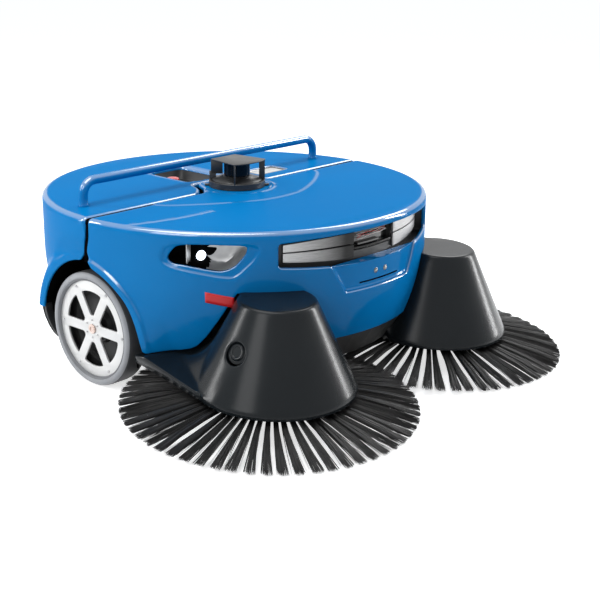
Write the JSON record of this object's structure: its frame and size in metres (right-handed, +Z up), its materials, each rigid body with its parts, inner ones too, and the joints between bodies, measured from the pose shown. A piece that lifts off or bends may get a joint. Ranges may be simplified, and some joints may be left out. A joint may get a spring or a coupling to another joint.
{
  "type": "robotic floor cleaner",
  "caption": "Round sweeping robot with large wheels, cone-covered side brushes, a sensor slot, a scanner and a tilting rear hood with a handle.",
  "frame": {"origin": "on the floor under the middle of the whole machine, bristles included", "axes": "+X to the right as seen from the front, +Y to the rear, +Z up"},
  "size_m": [1.0612, 1.016, 0.4013],
  "materials": {
    "hood_blue": "gloss blue",
    "cover_charcoal": "satin charcoal",
    "liner_black": "matt black",
    "trim_black": "gloss black",
    "pan_steel": "black powder coat",
    "disc_aluminium": "machined",
    "tyre_rubber": "grey rubber",
    "bristle": "black nylon",
    "motor_casing": "cast",
    "hinge_steel": "brushed",
    "battery_case": "dark grey enamel",
    "band_steel": "brushed",
    "lamp_lens": "clear",
    "scanner_lens": "smoked",
    "display_screen": "gloss screen",
    "stop_red": "gloss red",
    "contact_brass": "polished",
    "belt_rubber": "matt",
    "hopper_grey": "matt grey",
    "filter_paper": "pleated",
    "caster_rubber": "grey rubber"
  },
  "bodies": {
    "chassis": {"arch_liner_left": "liner_black", "arch_liner_right": "liner_black", "battery_left": "battery_case", "battery_right": "battery_case", "brush_cover_left": "cover_charcoal", "brush_cover_right": "cover_charcoal", "brush_motor_left": "motor_casing", "brush_motor_right": "motor_casing", "camera_module": "trim_black", "caster_mount": "hinge_steel", "chassis_tray": "pan_steel", "control_box": "hopper_grey", "cover_cap_left": "cover_charcoal", "cover_cap_right": "cover_charcoal", "dock_contact_left": "contact_brass", "dock_contact_right": "contact_brass", "dock_plate": "hood_blue", "drive_belt": "belt_rubber", "drive_motor_left": "motor_casing", "drive_motor_right": "motor_casing", "front_hood": "hood_blue", "headlight_bowl_left": "liner_black", "headlight_bowl_right": "liner_black", "headlight_lamp_left": "lamp_lens", "headlight_lamp_right": "lamp_lens", "hinge_bracket_left": "hinge_steel", "hinge_bracket_right": "hinge_steel", "hopper": "hopper_grey", "hopper_filter": "filter_paper", "rear_skirt": "liner_black", "roller_motor": "motor_casing", "scanner_base": "trim_black", "scanner_guard": "trim_black", "scanner_window": "scanner_lens", "sensor_band_lower": "band_steel", "sensor_band_upper": "band_steel", "sensor_housing": "liner_black", "suction_fan": "hopper_grey"},
    "rear_hood": {"rear_hood": "hood_blue", "handle_bar": "hood_blue", "recess_tray": "liner_black", "display_panel": "display_screen", "stop_collar": "trim_black", "hinge_leaf_left": "hinge_steel", "hinge_leaf_right": "hinge_steel"},
    "stop_button": {"stop_button": "stop_red"},
    "wheel_left": {"tyre_left": "tyre_rubber", "wheel_disc_left": "disc_aluminium"},
    "wheel_right": {"tyre_right": "tyre_rubber", "wheel_disc_right": "disc_aluminium"},
    "side_brush_left": {"brush_plate_left": "liner_black", "brush_crown_left": "bristle"},
    "side_brush_right": {"brush_plate_right": "liner_black", "brush_crown_right": "bristle"},
    "roller": {"roller_brush": "bristle"},
    "roller_pulley": {"motor_pulley": "hinge_steel"},
    "caster_fork": {"caster_fork": "hinge_steel"},
    "caster_wheel": {"caster_wheel": "caster_rubber"}
  },
  "joints": [
    {"name": "rear_hood_hinge", "type": "hinge", "parent": "chassis", "child": "rear_hood", "pos_m": [0, 0.48856, 0.1318], "axis": [-1, 0, 0], "range_deg": [0, 62]},
    {"name": "stop_press", "type": "slide", "parent": "rear_hood", "child": "stop_button", "axis": [0, 0, -1], "range_m": [0, 0.0048], "stiffness_N_per_m": 1200},
    {"name": "wheel_left_spin", "type": "hinge", "parent": "chassis", "child": "wheel_left", "pos_m": [-0.356, 0.12706, 0.115], "axis": [1, 0, 0], "continuous": true},
    {"name": "wheel_right_spin", "type": "hinge", "parent": "chassis", "child": "wheel_right", "pos_m": [0.356, 0.12706, 0.115], "axis": [1, 0, 0], "continuous": true},
    {"name": "side_brush_left_spin", "type": "hinge", "parent": "chassis", "child": "side_brush_left", "pos_m": [-0.2475, -0.22594, 0.017], "axis": [-0.0166, -0.0576, 0.9982], "continuous": true},
    {"name": "side_brush_right_spin", "type": "hinge", "parent": "chassis", "child": "side_brush_right", "pos_m": [0.2475, -0.22594, 0.017], "axis": [0.0166, -0.0576, 0.9982], "continuous": true},
    {"name": "roller_spin", "type": "hinge", "parent": "chassis", "child": "roller", "pos_m": [0, 0.14206, 0.056], "axis": [1, 0, 0], "continuous": true},
    {"name": "roller_pulley_spin", "type": "hinge", "parent": "chassis", "child": "roller_pulley", "pos_m": [-0.2595, 0.04506, 0.112], "axis": [1, 0, 0], "continuous": true},
    {"name": "caster_swivel", "type": "hinge", "parent": "chassis", "child": "caster_fork", "pos_m": [0, 0.39206, 0.055], "axis": [0, 0, 1], "continuous": true},
    {"name": "caster_roll", "type": "hinge", "parent": "caster_fork", "child": "caster_wheel", "pos_m": [0, 0.41406, 0.025], "axis": [1, 0, 0], "continuous": true}
  ],
  "couplings": [
    {"joint": "side_brush_left_spin", "follows": "side_brush_right_spin", "ratio": -1},
    {"joint": "roller_pulley_spin", "follows": "roller_spin", "ratio": 1}
  ]
}
